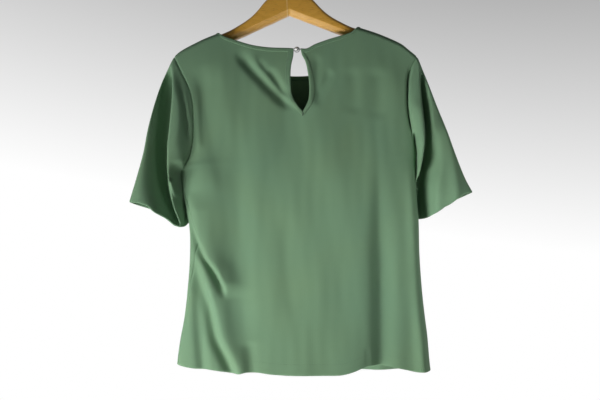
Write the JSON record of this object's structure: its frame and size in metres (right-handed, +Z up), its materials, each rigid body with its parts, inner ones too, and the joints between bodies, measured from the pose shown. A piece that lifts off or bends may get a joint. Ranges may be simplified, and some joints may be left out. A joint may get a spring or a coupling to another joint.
{
  "type": "short-sleeve shirt on a wooden hanger",
  "caption": "Knit shirt with set-in elbow sleeves, a wide neck and a buttoned keyhole back, hung open on a wooden hanger with a wire hook.",
  "frame": {"origin": "inside top of the hanger's hook, where it hangs on a rail", "axes": "+Z up, +X along the hanger towards the wearer's right sleeve, +Y towards the garment's front; the back with its keyhole faces -Y"},
  "size_m": [0.6329, 0.1073, 0.8065],
  "materials": {
    "knit": "matt crepe knit, soft green",
    "trim": "self-fabric band with a dull sheen",
    "thread": "dark twisted thread",
    "button": "pearl",
    "wood": "varnished",
    "hook": "polished wire"
  },
  "bodies": {
    "root": {"back_panel": "knit", "front_panel": "knit", "left_sleeve": "knit", "right_sleeve": "knit", "neck_band_back_left": "trim", "neck_band_back_right": "trim", "neck_band_front": "trim", "keyhole_band": "trim", "button": "button", "button_shank": "thread", "button_loop": "thread", "hanger_left_arm": "wood", "hanger_right_arm": "wood", "hanger_hook": "hook"}
  },
  "joints": []
}
